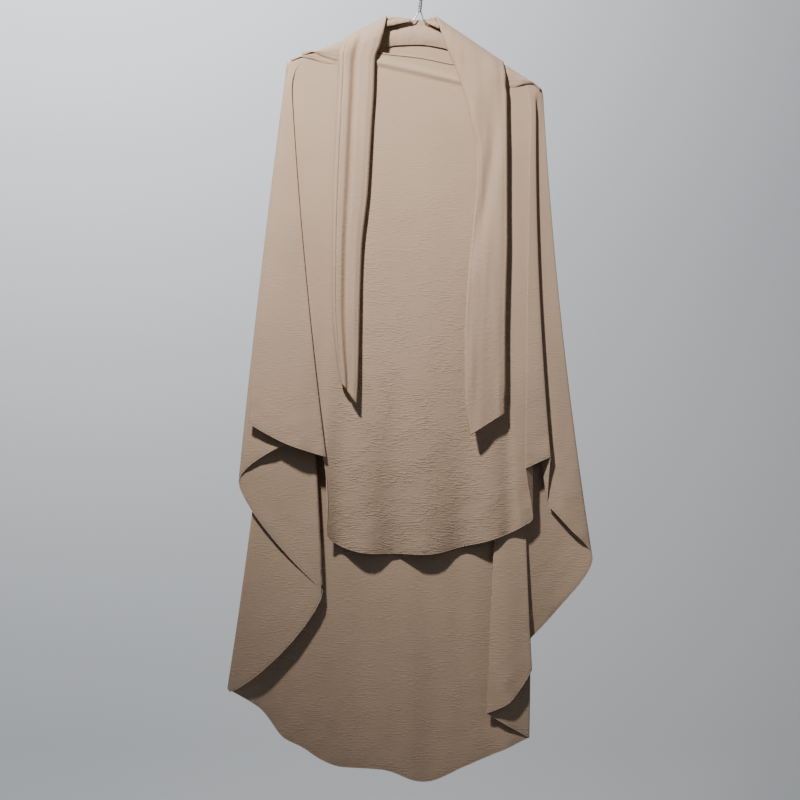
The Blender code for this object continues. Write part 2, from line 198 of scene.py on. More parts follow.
def arm_height(x):
    """Height under the neck of the wire's middle at the distance x from the neck."""
    side = -1.0 if x < 0.0 else 1.0
    bend = hang(side * ARM_BEND_REACH, -ARM_BEND_DROP) - NECK
    corner = hang(side * HANGER_WIDTH / 2, -HANGER_DROP) - NECK
    neck = hang(side * NECK_SPREAD, 0.0) - NECK
    start, end = (neck, bend) if abs(x) < abs(bend.x) else (bend, corner)
    share = (x - start.x) / (end.x - start.x)
    return start.z + max(share, 0.0) * (end.z - start.z)


print("arms end", round(arm_height(-HANGER_WIDTH / 2), 3), round(arm_height(HANGER_WIDTH / 2), 3))

# %% [markdown]
# A fold line runs smoothly through its three levels, and the cloth between four neighbouring
# lines is blended so that it never swings past the two in the middle.

# %% blend the fold lines


def three_levels(top, middle, hem, top_drop, hem_drop, drop):
    """A smooth line through three levels, held above the top and straight below the hem."""
    drop = max(drop, top_drop)
    beyond = max(0.0, drop - hem_drop)
    drop = min(drop, hem_drop)
    upper = (middle - top) / (MIDDLE_DROP - top_drop)
    lower = (hem - middle) / (hem_drop - MIDDLE_DROP)
    bend = (lower - upper) / (hem_drop - top_drop)
    value = middle + lower * (drop - MIDDLE_DROP) + bend * (drop - MIDDLE_DROP) * (drop - hem_drop)
    return value + beyond * (lower + bend * (hem_drop - MIDDLE_DROP))


def top_of(fold):
    """How far under the neck a fold line starts, as a share of BACK_LENGTH."""
    return -arm_height(fold.top_x * HALF_SPREAD) / BACK_LENGTH + fold.below


TOPS = {fold.name: top_of(fold) for fold in FOLDS}


def blend(values, share, corners=(0, 0)):
    """The value a share of the way from the second of four values to the third."""
    before, start, end, after = values
    steps = (start - before, end - start, after - end)
    slopes = []
    for first, second, corner in zip(steps, steps[1:], corners):
        same_way = first * second > 0.0 and not corner
        slopes.append(2 * first * second / (first + second) if same_way else 0.0)
    square, cube = share ** 2, share ** 3
    return ((2 * cube - 3 * square + 1) * start + (cube - 2 * square + share) * slopes[0]
            + (3 * square - 2 * cube) * end + (cube - square) * slopes[1])


def four_folds(place):
    """The four fold lines around a place on the cloth, and the share between the middle two."""
    first = int(place // 1)
    rows = [FOLDS[(first + step) % len(FOLDS)] for step in (-1, 0, 1, 2)]
    return rows, place - first


def span_of(place):
    """Where the cloth starts and ends at a place round it, as shares of BACK_LENGTH."""
    rows, between = four_folds(place)
    top = blend([TOPS[row.name] for row in rows], between)
    hem = blend([row.hem for row in rows], between, (rows[1].corner, rows[2].corner))
    return top, hem + HEM_BOWS.get(rows[1].name, 0.0) * 4 * between * (1 - between)


def line_at(row, drop):
    """The x and near shares of a fold line at a drop under the neck."""
    top = TOPS[row.name]
    start_x, start_near = PULLED.get(row.name, (row.top_x, row.top_near))
    seated = exp(-((max(drop, top) - top) / SEAT_EASE) ** 2)
    x = three_levels(start_x, row.mid_x, row.hem_x, top, row.hem, drop)
    near = three_levels(start_near, row.mid_near, row.hem_near, top, row.hem, drop)
    return x + seated * (row.top_x - start_x), near + seated * (row.top_near - start_near)


def smooth_point(place, drop):
    """The cape's point at a place round it and a drop under the neck, before its small waves."""
    rows, between = four_folds(place)
    lines = [line_at(row, drop) for row in rows]
    x = blend([line[0] for line in lines], between)
    near = blend([line[1] for line in lines], between)
    return Vector((x * HALF_SPREAD, -near * DRAPE_DEPTH, -drop * BACK_LENGTH))


print("front centre hem at", [round(value, 3) for value in smooth_point(0.0, 0.701)])

# %% [markdown]
# Crepe is limp, so it also has soft waves that a fold table doesn't hold: shallow hollows in
# the wide panels, and a little flutter along the hem. Smooth noise on the height and width
# gives them, so layers that lie on each other move nearly together. Each wave has its own
# slice of the noise, and its own number of swings per metre.

# %% soft waves
WAVE_DEPTH = 0.0028
HEM_FLUTE = 0.0060
HEM_FLUTTER = 0.0018
BROAD_SWINGS = (16.0, 3.2)
NARROW_SWINGS = (38.0, 6.0)
FLUTTER_SWINGS = 45.0
FLUTE_SWINGS = 19.0
BROAD_SLICE, NARROW_SLICE, FLUTTER_SLICE, FLUTE_SLICE = 3.0, 8.0, 5.0, 11.0
FLUTE_LEVEL = 0.7
TOP_WAVES = 0.25
NARROW_PART = 0.45


def soft_wave(point, to_hem):
    """A small offset towards the front at a point of the cloth, larger near the hem."""
    x, z = point.x, point.z
    broad = noise.noise(Vector((x * BROAD_SWINGS[0], BROAD_SLICE, z * BROAD_SWINGS[1])))
    narrow = noise.noise(Vector((x * NARROW_SWINGS[0], NARROW_SLICE, z * NARROW_SWINGS[1])))
    flutter = noise.noise(Vector((x * FLUTTER_SWINGS, FLUTTER_SLICE, z * FLUTTER_SWINGS)))
    flute = noise.noise(Vector((x * FLUTE_SWINGS, FLUTE_SLICE, FLUTE_LEVEL)))
    grown = min(1.0, TOP_WAVES + to_hem)
    panel = grown * WAVE_DEPTH * (broad + NARROW_PART * narrow)
    return panel + HEM_FLUTE * flute * to_hem ** 5 + HEM_FLUTTER * flutter * to_hem ** 8


# %% [markdown]
# The front panel's neckline is folded over once, and the fold stands out as a ridge that runs
# slightly downhill from the left tie to the right one. At its hem the same panel swings in
# shallow lobes, and between them it hangs back towards the other panel.

# %% ridge and lobes of the front panel
FRONT_FOLDS = 3
RIDGE_LEFT = Vector((-0.060, -0.0761))
RIDGE_RIGHT = Vector((0.0664, -0.1053))
RIDGE_HEIGHT = 0.0046
RIDGE_ABOVE = 0.0064
RIDGE_BELOW = 0.0027
RIDGE_HALF = 0.56
RIDGE_FADE = 0.10
HEM_LOBE_APART = 0.102
HEM_LOBE_AT = -0.0875
HEM_LOBE_DEPTH = 0.009
HEM_LEAN_BACK = 0.011


def chin_ridge(point):
    """How far the fold under the chin pushes a point of the front panel forward."""
    share = (point.x - RIDGE_LEFT.x) / (RIDGE_RIGHT.x - RIDGE_LEFT.x)
    height = RIDGE_LEFT.y + share * (RIDGE_RIGHT.y - RIDGE_LEFT.y)
    over = point.z - height
    width = RIDGE_ABOVE if over > 0 else RIDGE_BELOW
    beyond = max(0.0, abs(share - 0.5) - RIDGE_HALF)
    return RIDGE_HEIGHT * exp(-(over / width) ** 2) * exp(-(beyond / RIDGE_FADE) ** 2)


def from_front(place):
    """How many fold lines a place is away from the front centre, either way round."""
    return min(place, len(FOLDS) - place)


def front_part(place):
    """1 in the middle of the front panel and 0 at its sides."""
    share = max(0.0, min(1.0, FRONT_FOLDS - from_front(place)))
    return share * share * (3 - 2 * share)


def front_lobes(point, share):
    """The front hem's shallow lobes: it hangs back towards the other panel between them."""
    wave = cos(2 * pi * (point.x - HEM_LOBE_AT) / HEM_LOBE_APART)
    return share ** 5 * (HEM_LOBE_DEPTH * wave - HEM_LEAN_BACK)


def cloth_point(place, share):
    """The point of the cape at a place round it, a share of the way from its top to its hem."""
    top, hem = span_of(place)
    drop = top + share * (hem - top)
    point = smooth_point(place, drop)
    point.y -= soft_wave(point, share)
    if from_front(place) < FRONT_FOLDS:
        point.y -= chin_ridge(point) + front_part(place) * front_lobes(point, share)
    return NECK + point


def cap_point(corner, inward, line):
    """The point of the cloth over an arm: line 0 is its front edge and line 1 its back edge."""
    front_side = -1 if corner == LEFT_CORNER else 1
    front = cloth_point(corner + front_side * inward, 0.0)
    back = cloth_point(corner - front_side * inward, 0.0)
    x = (front.x + back.x) / 2
    seat = NECK.z + arm_height(x - NECK.x) + WIRE_DIAMETER / 2 + CLEARANCE + CLOTH_WALL / 2
    bulge = 1 - (2 * line - 1) ** 4
    edge = front.lerp(back, line)
    rise = min(1.0, inward)
    return Vector((edge.x, edge.y, edge.z + rise * bulge * (seat - edge.z)))


print("left cap starts at", [round(value, 4) for value in cap_point(LEFT_CORNER, 3.0, 0.5)])

# %% [markdown]
# A sheet starts as a flat grid. Each of its points is moved to its place on the draped cloth,
# and gets a UV in metres, in which the crinkles of the finish run across the cloth. A second
# value, to_hem, says how strongly a point is crinkled, which grows towards the hem.

# %% make a sheet from a grid
UV_NAME = "cloth"
WELD = 0.00002
NORMAL_WEIGHT = 90


def flat_uv(width, height):
    """The UVs of a sheet that is this wide and this high."""
    return lambda across, down: (across * width, down * height)


def add_grid(mesh, columns, rows, place, flat, crinkled=lambda across, down: down):
    """Add a grid: place gives its points, flat their UVs, crinkled how crinkled they are."""
    uv = mesh.loops.layers.uv.get(UV_NAME) or mesh.loops.layers.uv.new(UV_NAME)
    hem_share = mesh.verts.layers.float.get("to_hem") or mesh.verts.layers.float.new("to_hem")
    made = bmesh.ops.create_grid(mesh, x_segments=columns, y_segments=rows, size=0.5)["verts"]
    shares = {vertex: (vertex.co.x + 0.5, vertex.co.y + 0.5) for vertex in made}
    faces = {face for vertex in made for face in vertex.link_faces}
    for face in faces:
        for loop in face.loops:
            loop[uv].uv = flat(*shares[loop.vert])
    for vertex, (across, down) in shares.items():
        vertex[hem_share] = crinkled(across, down)
        vertex.co = place(across, down)


def finish_sheet(mesh, name, wall):
    """Join a sheet's edges, turn its faces one way, give it a wall and put it in the scene."""
    bmesh.ops.remove_doubles(mesh, verts=mesh.verts, dist=WELD)
    bmesh.ops.dissolve_degenerate(mesh, edges=mesh.edges, dist=WELD)
    bmesh.ops.recalc_face_normals(mesh, faces=mesh.faces)
    data = bpy.data.meshes.new(name)
    mesh.to_mesh(data)
    mesh.free()
    data.shade_smooth()
    sheet = bpy.data.objects.new(name, data)
    bpy.context.scene.collection.objects.link(sheet)
    shell = sheet.modifiers.new("wall", "SOLIDIFY")
    shell.thickness = wall
    shell.offset = 0.0
    even = sheet.modifiers.new("even_normals", "WEIGHTED_NORMAL")
    even.mode = "FACE_AREA"
    even.weight = NORMAL_WEIGHT
    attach(sheet, "root")
    print(name, len(data.polygons), "faces")
    return sheet


# %% [markdown]
# The cape is one grid round the whole cloth, and one small grid over each arm that joins the
# front of the shoulder to its back. The grid has more columns where the cloth is folded than
# in its wide flat panels, and its rows are closer near the arms, where the creases are. Its UV
# is its place as seen from the front, shifted by its depth so that no two layers look alike.

# %% cape
FLAT_COLUMNS = 6
FOLDED_COLUMNS = 10
CAPE_ROWS = 138
FLAT_FOLDS = (0, 1, 15, 16, 17, 18, 19, 34, 35)
TOP_FINENESS = 0.45
SIDE_CRINKLE = 0.5
UV_BY_DEPTH = (0.5, 0.3)
CAP_ROWS = 6


def cape_places():
    """The places round the cloth that the grid's columns stand at."""
    places = []
    for fold in range(len(FOLDS)):
        count = FLAT_COLUMNS if fold in FLAT_FOLDS else FOLDED_COLUMNS
        places += [fold + step / count for step in range(count)]
    return places + [float(len(FOLDS))]


def down_share(down):
    """Where a row of the grid stands, with the upper rows closer together."""
    return TOP_FINENESS * down + (1 - TOP_FINENESS) * down ** 2


def make_cape():
    """The cape's sheet, with a cap of cloth over each arm."""
    places = cape_places()
    columns = len(places) - 1
    cloth = [[cloth_point(place % len(FOLDS), down_share(row / CAPE_ROWS)) for place in places]
             for row in range(CAPE_ROWS + 1)]

    def cloth_at(across, down):
        return cloth[round(down * CAPE_ROWS)][round(across * columns)]

    def seen_at(across, down):
        point = cloth_at(across, down)
        return point.x + UV_BY_DEPTH[0] * point.y, point.z + UV_BY_DEPTH[1] * point.y

    def crinkled_at(across, down):
        in_front = front_part(places[round(across * columns)])
        return down * (SIDE_CRINKLE + (1 - SIDE_CRINKLE) * in_front)

    mesh = bmesh.new()
    add_grid(mesh, columns, CAPE_ROWS, cloth_at, seen_at, crinkled_at)
    cap_columns = CAP_FOLDS * FOLDED_COLUMNS
    for corner in (LEFT_CORNER, RIGHT_CORNER):
        add_grid(mesh, cap_columns, CAP_ROWS,
                 lambda across, down, corner=corner: cap_point(corner, across * CAP_FOLDS, down),
                 flat_uv(width=0.2, height=0.02))
    return finish_sheet(mesh, "cape_cloth", CLOTH_WALL)


cape = make_cape()
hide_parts("cape")

# %% [markdown]
# The hem is a narrow roll of the same crepe, stitched all round. A thin round tube along the
# sheet's lower edge makes its light rim, and another one edges the face opening in front. Both
# tubes are coloured paler: a painted highlight on the rolled edge.

# %% rolled hems
HEM_ROLL = 0.0007
CHIN_START = 34
CHIN_FOLDS = 4.0
CHIN_STEPS = 90


def add_tube(name, routes, radius, closed=False, roundness=2):
    """A round tube along each row of points: a bevel of 1 m, scaled to the radius at each."""
    curve = bpy.data.curves.new(name, "CURVE")
    curve.dimensions = "3D"
    curve.bevel_depth = 1.0
    curve.bevel_resolution = roundness
    curve.use_fill_caps = not closed
    for points in routes:
        line = curve.splines.new("POLY")
        line.points.add(len(points) - 1)
        for spot, place in zip(line.points, points):
            spot.co = (*place, 1.0)
            spot.radius = radius
        line.use_cyclic_u = closed
        line.use_smooth = True
    tube = bpy.data.objects.new(name, curve)
    bpy.context.scene.collection.objects.link(tube)
    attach(tube, "root")
    return tube


hem_points = [cloth_point(place % len(FOLDS), 1.0) for place in cape_places()[:-1]]
cape_hem = add_tube("cape_hem", [hem_points], HEM_ROLL, True)
chin_places = [(CHIN_START + step * CHIN_FOLDS / CHIN_STEPS) % len(FOLDS)
               for step in range(CHIN_STEPS + 1)]
chin_points = [cloth_point(place, 0.0) for place in chin_places]
chin_hem = add_tube("chin_hem", [chin_points], HEM_ROLL)
print("hem tubes of", len(hem_points), "and", len(chin_points), "points")

# %% [markdown]
# A row of small darker stitches holds the neckline's hem. Each is a short piece of thread that
# lies on the cloth just under the edge. Their thickness and very dark colour also paint the thin
# shadow line in the crack along the neckline's edge.

# %% neckline stitches
STITCH_RADIUS = 0.0008
STITCH_LENGTH = 0.0026
STITCH_STEP = 0.0042
STITCH_SHARE = 0.0022


def stitch_routes(points):
    """The ends of each stitch, laid along a row of points at even steps."""
    routes = []
    travelled = 0.0
    for start, end in zip(points, points[1:]):
        length = (end - start).length
        while travelled < length:
            first = start.lerp(end, travelled / length)
            second = first + (end - start).normalized() * STITCH_LENGTH
            shift = Vector((0.0, -CLOTH_WALL / 2 - STITCH_RADIUS / 2, 0.0))
            routes.append([first + shift, second + shift])
            travelled += STITCH_STEP
        travelled -= length
    return routes


sewn_points = [cloth_point(place, STITCH_SHARE) for place in chin_places]
chin_stitches_and_shadow_line = add_tube("chin_stitches_and_shadow_line", stitch_routes(sewn_points), STITCH_RADIUS)
print(len(chin_stitches_and_shadow_line.data.splines), "stitches")

# %% [markdown]
# On each shoulder the cloth is pulled up over the arm and falls back in small tucks beside the
# tie. A tuck is a lip of cloth that starts at the arm's crest, bulges forward and curls under
# along its lower edge, so that it throws a real shadow on the panel below.

# %% shoulder tucks
TUCK_ROWS = 14
TUCK_COLUMNS = 40
TUCK_STAND = 0.0062
TUCK_CURL = 0.8
TUCK_CURL_RISE = 0.0018
TUCK_BEHIND = 0.0006
TUCK_TAPER = 4
TUCK_START = 0.35
TUCK_LAYERS = 1.5
TUCK_FALL = 1.4
TUCK_FORWARD = 2.2
TUCK_SWELL = (0.12, 0.75)
TUCK_ROUND = 0.8
TUCK_CREASES = (9.0, 5.0)
Tuck = namedtuple("Tuck", "x drop")
LEFT_TUCK_LOW = [Tuck(-0.400, 0.0645), Tuck(-0.500, 0.0610), Tuck(-0.573, 0.0560),
                 Tuck(-0.640, 0.0530), Tuck(-0.690, 0.0570)]
LEFT_TUCK_HIGH = [Tuck(-0.400, 0.0600), Tuck(-0.470, 0.0560), Tuck(-0.540, 0.0500),
                  Tuck(-0.585, 0.0460), Tuck(-0.630, 0.0480)]
RIGHT_TUCK_LOW = [Tuck(0.440, 0.0930), Tuck(0.500, 0.0925), Tuck(0.560, 0.0890),
                  Tuck(0.610, 0.0875), Tuck(0.650, 0.0960)]


def blend_points(rows, place):
    """The point a place along rows of points, blended without swinging past."""
    first = min(int(place), len(rows) - 2)
    around = [rows[max(0, min(len(rows) - 1, first + step))] for step in (-1, 0, 1, 2)]
    return Vector(blend([point[axis] for point in around], place - first) for axis in range(3))


def add_tuck(name, table, bulge, pucker):
    """A lip of cloth from the arm's crest down to the row of points in the table."""
    rows = [Vector((row.x, row.drop, 0.0)) for row in table]

    def place(across, down):
        edge = blend_points(rows, across * (len(rows) - 1))
        x = edge.x * HALF_SPREAD
        thin = min(1.0, TUCK_TAPER * (1 - across), TUCK_START + TUCK_TAPER * across)
        crest = arm_height(x) + WIRE_DIAMETER / 2 + CLEARANCE + TUCK_LAYERS * CLOTH_WALL * thin
        low = -edge.y * BACK_LENGTH
        turn = min(1.0, down / TUCK_CURL)
        under = max(0.0, down - TUCK_CURL) / (1 - TUCK_CURL)
        z = crest + (low - crest) * turn ** TUCK_FALL + under * TUCK_CURL_RISE
        base = TUCK_STAND * min(1.0, turn * TUCK_FORWARD)
        swell = min(1.0, TUCK_SWELL[0] + TUCK_SWELL[1] * turn)
        lip = bulge * thin * sin(pi * swell) ** TUCK_ROUND
        fold = pucker * thin * sin(TUCK_CREASES[0] * across + TUCK_CREASES[1] * down) * turn
        near = base + lip + fold - under * (lip + TUCK_BEHIND)
        return NECK + Vector((x, -near, z))

    mesh = bmesh.new()
    add_grid(mesh, TUCK_COLUMNS, TUCK_ROWS, place, flat_uv(width=0.1, height=-0.03))
    tuck = finish_sheet(mesh, name, CLOTH_WALL)
    return tuck


tucks = [
    add_tuck("left_shoulder_tuck", LEFT_TUCK_LOW, bulge=0.0030, pucker=0.0003),
    add_tuck("left_upper_tuck", LEFT_TUCK_HIGH, bulge=0.0055, pucker=0.0004),
    add_tuck("right_shoulder_tuck", RIGHT_TUCK_LOW, bulge=0.0042, pucker=0.0008),
]

# %% [markdown]
# The forehead band and the ties are one long strip in two layers of crepe. In front it comes
# over the arm as one smooth face and hangs on as the tie. Its sections are a short table, from
# the crest over the arm to the tip: where its outer and its inner edge are.

# %% tie sections
Strip = namedtuple("Strip", "outer_x outer_drop inner_x inner_drop")
LEFT_STRIP = [
    Strip(-0.400, 0.0262, -0.173, -0.0026),
    Strip(-0.421, 0.0393, -0.189, 0.0183),
    Strip(-0.432, 0.0523, -0.211, 0.0379),
    Strip(-0.432, 0.0680, -0.238, 0.0576),
    Strip(-0.437, 0.0968, -0.243, 0.0942),
    Strip(-0.448, 0.1597, -0.259, 0.1597),
    Strip(-0.459, 0.2251, -0.275, 0.2277),
    Strip(-0.464, 0.3036, -0.308, 0.3036),
    Strip(-0.464, 0.3690, -0.319, 0.3769),
    Strip(-0.448, 0.4279, -0.324, 0.4344),
    Strip(-0.427, 0.4659, -0.329, 0.4803),
    Strip(-0.421, 0.4750, -0.335, 0.5038),
]
RIGHT_STRIP = [
    Strip(0.454, 0.0576, 0.086, -0.0026),
    Strip(0.459, 0.0680, 0.113, 0.0157),
    Strip(0.464, 0.0785, 0.135, 0.0327),
    Strip(0.464, 0.0916, 0.162, 0.0484),
    Strip(0.470, 0.1047, 0.194, 0.0654),
    Strip(0.470, 0.1230, 0.221, 0.0838),
    Strip(0.470, 0.1466, 0.254, 0.1099),
    Strip(0.470, 0.1727, 0.286, 0.1439),
    Strip(0.470, 0.2055, 0.308, 0.1727),
    Strip(0.470, 0.2382, 0.308, 0.2185),
    Strip(0.470, 0.2905, 0.286, 0.2774),
    Strip(0.464, 0.3559, 0.259, 0.3429),
    Strip(0.459, 0.4214, 0.243, 0.4214),
    Strip(0.459, 0.4803, 0.243, 0.4868),
    Strip(0.454, 0.5025, 0.259, 0.5234),
    Strip(0.454, 0.5169, 0.275, 0.5444),
]
TIE_OFFSET = 0.0045
TIE_ARCH = 0.009
TIE_ROWS = 190
TIE_COLUMNS = 56
print("ties", len(LEFT_STRIP), len(RIGHT_STRIP), "sections")

# %% [markdown]
# The left tie is folded lengthways in three: a narrow doubled edge, a face that turns away
# from the light, and the wide main face. The right one is wide and smooth, with one soft
# hollow that runs across it from its outer edge at the top to its inner edge lower down.

# %% ties
Ridge = namedtuple("Ridge", "across height")
LEFT_PROFILE = [
    Ridge(0.00, 0.20), Ridge(0.04, 0.75), Ridge(0.10, 0.95), Ridge(0.135, 0.68),
    Ridge(0.17, 0.98), Ridge(0.27, 0.92), Ridge(0.46, 0.05), Ridge(0.505, 0.78),
    Ridge(0.60, 0.95), Ridge(0.80, 1.00), Ridge(0.95, 0.80), Ridge(1.00, 0.45),
]
RIGHT_PROFILE = [
    Ridge(0.00, 0.55), Ridge(0.03, 0.85), Ridge(0.20, 1.00), Ridge(0.50, 0.92),
    Ridge(0.80, 0.85), Ridge(0.96, 0.70), Ridge(1.00, 0.35),
]
HOLLOW_START = 0.085
HOLLOW_END = 0.345
HOLLOW_DEPTH = 0.0055
HOLLOW_WIDTH = 0.22
LEFT_TIP_LIFT = 0.007
RIGHT_TIP_LIFT = 0.0132
TIP_START = 0.6
HOLLOW_SLANT = (0.18, 0.86)
RIGHT_TOP_FINENESS = 0.55
SETTLE_DROP = 0.009
ARCH_DROP = 0.05
ARCH_AT_CREST = 0.35
CLOTH_FROM_DROP = 0.06
RIPPLE = 0.0012
RIPPLE_SWINGS = (22.0, 14.0)


def profile_at(table, across):
    """The height of a tie's cross section, eased between the rows of its table."""
    for start, end in zip(table, table[1:]):
        if across <= end.across:
            share = (across - start.across) / (end.across - start.across)
            return start.height + (1 - cos(pi * share)) / 2 * (end.height - start.height)
    return table[-1].height


def hollow(across, drop):
    """The depth of the soft hollow across the right tie."""
    share = (drop - HOLLOW_START) / (HOLLOW_END - HOLLOW_START)
    if not 0.0 < share < 1.0:
        return 0.0
    middle = HOLLOW_SLANT[0] + HOLLOW_SLANT[1] * share
    return HOLLOW_DEPTH * sin(pi * share) ** 0.7 * exp(-((across - middle) / HOLLOW_WIDTH) ** 2)


def front_near(place, drop):
    """How far in front of the hanger the front cloth lies, at a place and a drop."""
    return -smooth_point(place, drop).y


def make_tie(name, table, profile, tip_lift, hollowed):
    """A tie's sheet from its table of edges."""
    outer = [Vector((row.outer_x, row.outer_drop, 0.0)) for row in table]
    inner = [Vector((row.inner_x, row.inner_drop, 0.0)) for row in table]
    last = len(table) - 1

    def place(across, down):
        fineness = RIGHT_TOP_FINENESS if hollowed else 1.0
        along = last * (fineness * down + (1 - fineness) * down ** 2)
        edge = blend_points(outer, along).lerp(blend_points(inner, along), across)
        crest = outer[0].lerp(inner[0], across)
        fallen = (edge.y - crest.y) * BACK_LENGTH
        behind = 1 if edge.x < 0 else len(FOLDS) - 1
        cloth = front_near(behind, max(edge.y, CLOTH_FROM_DROP))
        arched = min(1.0, ARCH_AT_CREST + fallen / ARCH_DROP)
        height = profile_at(profile, across) * TIE_ARCH * arched
        if hollowed:
            height -= hollow(across, edge.y)
        swings = Vector((edge.x * RIPPLE_SWINGS[0], 1.0, edge.y * RIPPLE_SWINGS[1]))
        ripple = RIPPLE * noise.noise(swings)
        tip = tip_lift * across * max(0.0, (down - TIP_START) / (1 - TIP_START)) ** 2
        loose = cloth + TIE_OFFSET + BAND_WALL / 2 + height + ripple + tip
        near = (1 - exp(-fallen / SETTLE_DROP)) * loose
        return NECK + Vector((edge.x * HALF_SPREAD, -near, -edge.y * BACK_LENGTH))

    mesh = bmesh.new()
    add_grid(mesh, TIE_COLUMNS, TIE_ROWS, place, flat_uv(width=0.1, height=-0.6))
    return finish_sheet(mesh, name, BAND_WALL)


left_tie = make_tie("left_tie_cloth", LEFT_STRIP, LEFT_PROFILE, LEFT_TIP_LIFT,
                    hollowed=False)
right_tie = make_tie("right_tie_cloth", RIGHT_STRIP, RIGHT_PROFILE, RIGHT_TIP_LIFT,
                     hollowed=True)
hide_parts("left_tie")
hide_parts("right_tie")

# %% [markdown]
# Behind the neck the band stands up against the hanger, sags a little between its arms and
# rolls under along its lower edge. Its ends lie on the arms, under the crests of the ties.

# %% forehead band
Section = namedtuple("Section", "outer_x inner_x lower upper near")
BAND_BACK = [
    Section(-0.395, -0.175, 0.030, 0.000, 0.02),
    Section(-0.39, -0.170, 0.046, -0.002, -0.13),
    Section(-0.27, -0.13, 0.046, -0.003, -0.15),
    Section(-0.13, -0.06, 0.035, -0.001, -0.14),
    Section(0.00, 0.00, 0.034, 0.002, -0.14),
    Section(0.12, 0.045, 0.038, 0.000, -0.14),
    Section(0.26, 0.075, 0.050, -0.002, -0.15),
    Section(0.42, 0.085, 0.066, -0.002, -0.13),
    Section(0.450, 0.090, 0.062, 0.000, 0.02),
]
BAND_COLUMNS = 36
BAND_STEPS = 12
BAND_ROLL = 0.0045
BAND_BEHIND = 0.15
BAND_CRUMPLE = 0.0009
CRUMPLE_SWINGS = (30.0, 90.0)
BAND_SWELL = (0.06, 1.2)
BAND_SINK = 0.3


def make_band():
    """The band's sheet, from crest to crest round the back of the neck."""
    rows = [Vector((row.outer_x, row.lower, row.near)) for row in BAND_BACK]
    tops = [Vector((row.inner_x, row.upper, row.near)) for row in BAND_BACK]
    sections = len(rows) - 1

    def place(across, down):
        low = blend_points(rows, down * sections)
        high = blend_points(tops, down * sections)
        spot = low.lerp(high, across)
        behind = max(0.0, -spot.z / BAND_BEHIND)
        swell = min(1.0, BAND_SWELL[0] + across * BAND_SWELL[1])
        roll = BAND_ROLL * behind * (sin(pi * swell) - BAND_SINK)
        swings = Vector((spot.x * CRUMPLE_SWINGS[0], 2.0, spot.y * CRUMPLE_SWINGS[1]))
        crumple = BAND_CRUMPLE * noise.noise(swings)
        near = spot.z * DRAPE_DEPTH + roll + crumple
        return NECK + Vector((spot.x * HALF_SPREAD, -near, -spot.y * BACK_LENGTH))

    mesh = bmesh.new()
    add_grid(mesh, BAND_COLUMNS, sections * BAND_STEPS, place, flat_uv(width=0.1, height=0.4))
    return finish_sheet(mesh, "forehead_band_cloth", BAND_WALL)


band = make_band()
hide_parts("forehead_band")

# %% [markdown]
# On both sides of the neck the band's upper edge is turned over the wire in a crumpled roll.
# Each roll is a sheet bent round the wire, with small creases along it.

# %% neck rolls
ROLL_START_ANGLE = radians(-60)
ROLL_END_ANGLE = radians(215)
ROLL_COLUMNS = 30
ROLL_ROWS = 26
ROLL_CREASE = 0.0007
ROLL_LIFT = 0.0006
ROLL_BACK = 0.001
CREASE_SWINGS = (210.0, 1.3)
ROLL_FLARE = 0.7
LOOP_REACH = 0.018
LOOP_DROP = 0.0075
LOOP_START = -0.2


def wire_height(x):
    """Height under the neck of the dressed wire, which leaves the neck in a small loop."""
    side = -1.0 if x < 0.0 else 1.0
    bend = hang(side * ARM_BEND_REACH, -ARM_BEND_DROP) - NECK
    loop = hang(side * LOOP_REACH, -LOOP_DROP) - NECK
    share = (x - loop.x) / (bend.x - loop.x)
    return loop.z + max(LOOP_START, share) * (bend.z - loop.z)


def add_neck_roll(name, start, end, start_radius, end_radius):
    """A sheet bent over the wire between two distances from the neck."""

    def place(across, down):
        x = start + (end - start) * across
        angle = ROLL_START_ANGLE + (ROLL_END_ANGLE - ROLL_START_ANGLE) * down
        swings = Vector((x * CREASE_SWINGS[0], angle * CREASE_SWINGS[1], 4.0))
        crease = ROLL_CREASE * noise.noise(swings)
        radius = start_radius + (end_radius - start_radius) * across ** ROLL_FLARE + crease
        height = wire_height(x) + ROLL_LIFT
        return NECK + Vector((x, radius * cos(angle) + ROLL_BACK, height + radius * sin(angle)))

    mesh = bmesh.new()
    add_grid(mesh, ROLL_COLUMNS, ROLL_ROWS, place, flat_uv(width=0.04, height=0.03))
    roll = finish_sheet(mesh, name, CLOTH_WALL)
    return roll


neck_rolls = [
    add_neck_roll("left_neck_roll", start=-0.0135, end=-0.053,
                  start_radius=0.0022, end_radius=0.0068),
    add_neck_roll("right_neck_roll", start=0.0135, end=0.032,
                  start_radius=0.0022, end_radius=0.0062),
]

# %% [markdown]
# The hanger is one length of drawn steel wire. Its two ends are twisted round each other in the
# neck, part a little above the cloth and loop out to the arms. A round tube along its route
# gives a rounder wire than the solid's eight sides.

# %% hanger
HOOK_STEPS = 22
STEM_STEPS = 6
STEPS_PER_TWIST = 12
HANGER_ROUNDNESS = 4
Bend = namedtuple("Bend", "reach height")
NECK_LOOP = [
    Bend(0.0033, 0.0072), Bend(0.0050, 0.0042), Bend(0.0060, 0.0002), Bend(0.0080, -0.0038),
    Bend(0.0118, -0.0065), Bend(LOOP_REACH, -LOOP_DROP),
]


